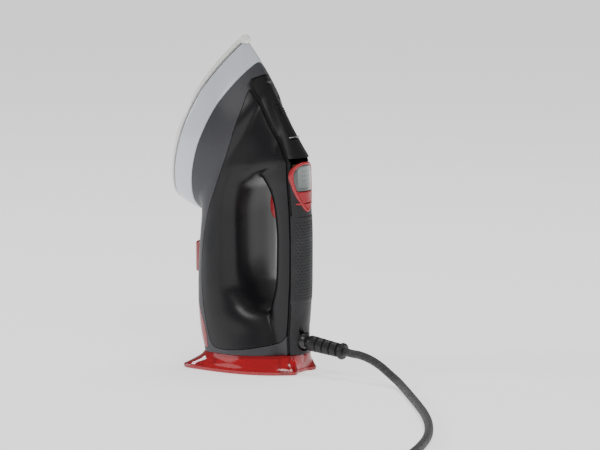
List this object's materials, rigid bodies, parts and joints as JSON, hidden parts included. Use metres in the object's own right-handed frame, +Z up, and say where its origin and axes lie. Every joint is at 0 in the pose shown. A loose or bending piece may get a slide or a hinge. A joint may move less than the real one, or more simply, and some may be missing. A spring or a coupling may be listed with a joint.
{
  "type": "clothes iron",
  "caption": "Steam clothes iron standing on its heel, with a pale soleplate, looped handle, trigger, display keys, slide-out water tank, filler flap and a swivelling cord that ends in a plug.",
  "frame": {"origin": "middle of the iron's own footprint, on the surface that its heel stands on", "axes": "+Z up through the nose, +X from the soleplate side to the handle side, where the cord leaves; +Y completes the frame and runs across the iron"},
  "size_m": [0.3839, 0.5052, 0.2961],
  "materials": {
    "ceramic": "white ceramic coating, satin",
    "skirt_grey": "light blue-grey moulding, satin gloss",
    "casing_grey": "dark grey moulding, satin",
    "body_black": "near-black moulding, soft gloss",
    "grip_black": "soft-touch grip, matt with small dimples",
    "spine_grey": "dark grey moulding, satin",
    "nozzle_black": "black moulding",
    "clear_red": "clear red moulding, glossy",
    "latch_red": "red moulding, satin gloss",
    "trigger_red": "red moulding, satin gloss",
    "bezel_red": "red moulding, satin gloss",
    "key_red": "red moulding, satin gloss",
    "screen_glass": "grey-green display window, glossy",
    "groove_rubber": "black sealing strip, matt",
    "foot_rubber": "black rubber, matt",
    "gasket_rubber": "black silicone, matt",
    "cast_aluminium": "as cast",
    "steel": "plain steel",
    "brass": "drawn brass",
    "inner_plastic": "natural moulding, matt",
    "circuit_board": "green laminate, matt",
    "ball_black": "black moulding, satin",
    "relief_rubber": "black flexible rubber, satin",
    "cord_textile": "black braided textile sleeve",
    "tie_black": "black strap, matt",
    "plug_black": "black moulding, fine texture"
  },
  "bodies": {
    "iron": {"soleplate": "ceramic", "sole_gasket": "gasket_rubber", "skirt": "skirt_grey", "steam_chamber": "cast_aluminium", "heating_element": "steel", "chamber_cover": "cast_aluminium", "thermostat": "steel", "thermal_fuse": "inner_plastic", "steam_valve": "brass", "heat_shield": "steel", "latch_frame": "inner_plastic", "casing": "casing_grey", "body_shell": "body_black", "handle_cover": "grip_black", "spine_cover": "spine_grey", "flap_pin": "steel", "filler_neck": "inner_plastic", "spray_nozzle": "nozzle_black", "display_bezel": "bezel_red", "display_lens": "screen_glass", "display_board": "circuit_board", "trigger_pin": "steel", "steam_switch": "inner_plastic", "heel_base": "clear_red", "heel_foot_1": "foot_rubber", "heel_foot_2": "foot_rubber", "heel_foot_3": "foot_rubber", "heel_foot_4": "foot_rubber", "ball_clamp": "inner_plastic", "terminal_block": "inner_plastic", "groove_trim_left": "groove_rubber", "groove_trim_right": "groove_rubber", "base_plate": "inner_plastic", "heel_screw_1": "steel", "heel_screw_2": "steel", "water_pump": "inner_plastic", "intake_hose": "gasket_rubber", "steam_hose": "gasket_rubber", "control_board": "circuit_board"},
    "tank": {"water_tank": "clear_red", "tank_stopper": "latch_red"},
    "latch": {"tank_latch": "latch_red", "latch_spring_left": "steel", "latch_spring_right": "steel"},
    "trigger": {"steam_trigger": "trigger_red", "trigger_spring": "steel"},
    "upper_key": {"key_up": "key_red"},
    "lower_key": {"key_down": "key_red"},
    "flap": {"filler_flap": "spine_grey"},
    "cord_swivel": {"cord_ball": "ball_black", "strain_relief": "relief_rubber", "cord": "cord_textile", "cord_coil": "cord_textile", "cord_tie": "tie_black", "cord_tail": "cord_textile", "plug_body": "plug_black", "pin_earth": "brass", "pin_live": "brass", "pin_neutral": "brass"}
  },
  "joints": [
    {"name": "tank_slide", "type": "slide", "parent": "iron", "child": "tank", "axis": [-1, 0, 0], "range_m": [0, 0.07]},
    {"name": "latch_push", "type": "slide", "parent": "iron", "child": "latch", "axis": [1, 0, 0], "range_m": [0, 0.0025], "stiffness_N_per_m": 800},
    {"name": "trigger_pull", "type": "hinge", "parent": "iron", "child": "trigger", "pos_m": [0.0352, 0, 0.1635], "axis": [0, -1, 0], "range_deg": [0, 8], "stiffness_Nm_per_rad": 0.6, "springref_deg": -5.73},
    {"name": "key_up_press", "type": "slide", "parent": "iron", "child": "upper_key", "axis": [-1, 0, 0], "range_m": [0, 0.0008], "stiffness_N_per_m": 1500},
    {"name": "key_down_press", "type": "slide", "parent": "iron", "child": "lower_key", "axis": [-1, 0, 0], "range_m": [0, 0.0008], "stiffness_N_per_m": 1500},
    {"name": "flap_open", "type": "hinge", "parent": "iron", "child": "flap", "pos_m": [0.04821, 0, 0.20838], "axis": [0, 1, 0], "range_deg": [0, 75]},
    {"name": "cord_turn", "type": "hinge", "parent": "iron", "child": "cord_swivel", "pos_m": [0.056, 0, 0.0285], "axis": [0, 0, 1], "range_deg": [-20, 20]}
  ]
}
